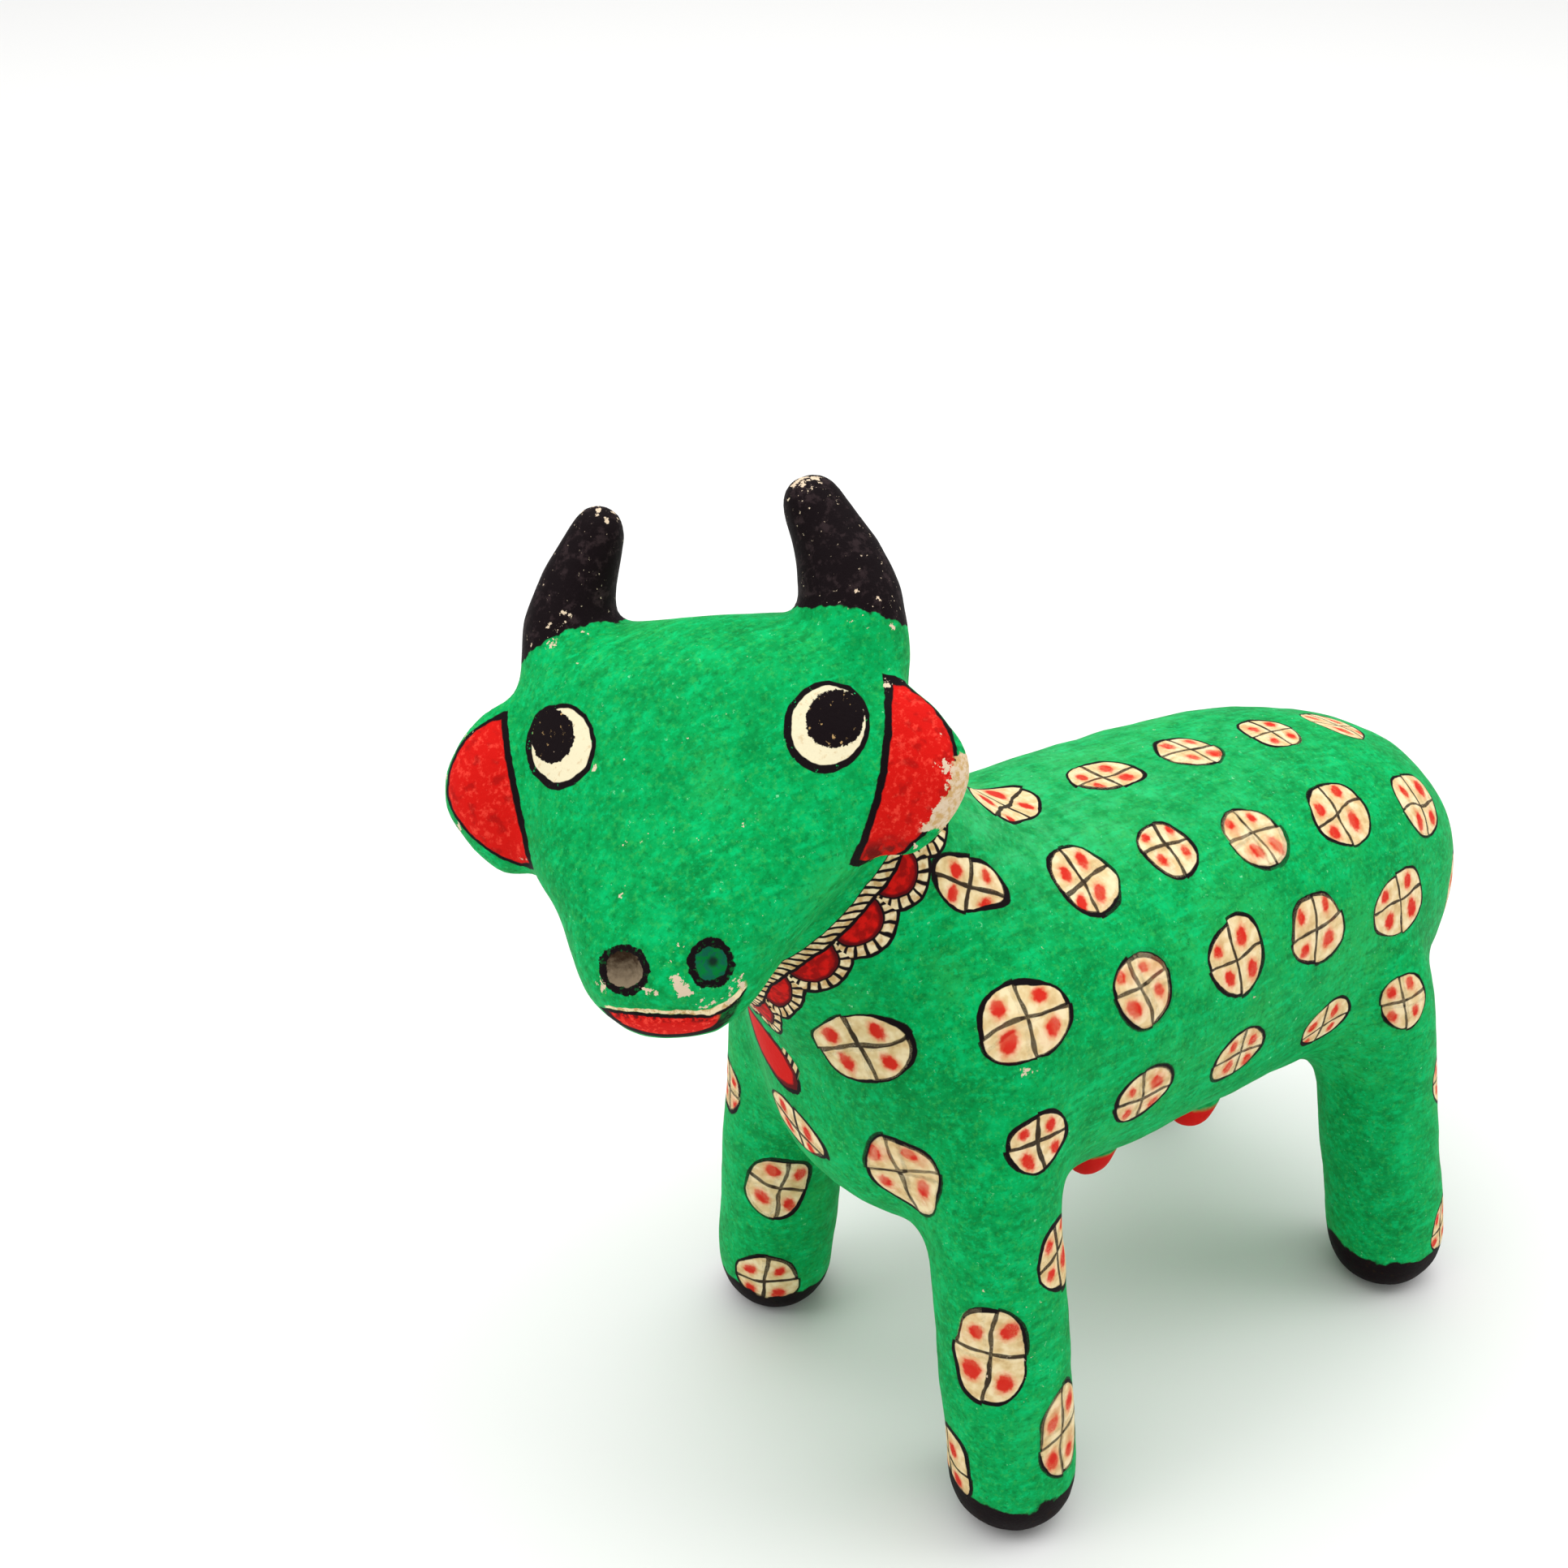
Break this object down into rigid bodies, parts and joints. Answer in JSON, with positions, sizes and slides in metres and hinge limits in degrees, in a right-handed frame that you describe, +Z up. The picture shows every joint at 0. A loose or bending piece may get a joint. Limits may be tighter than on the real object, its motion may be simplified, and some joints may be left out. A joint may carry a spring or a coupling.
{
  "type": "papier-mache figure of a cow",
  "caption": "Standing papier-mache cow on post legs, head turned to its left, with upright horns, round ears, nostril pits and flat soles to stand on.",
  "frame": {"origin": "bottom centre of the figure's box, on the surface it stands on", "axes": "+X the way the body faces, +Y the cow's left, +Z up"},
  "size_m": [0.1984, 0.0918, 0.1809],
  "materials": {
    "painted_pulp": "matt poster paint, bright green, on papier-mache"
  },
  "bodies": {
    "root": {"cow": "painted_pulp"}
  },
  "joints": []
}
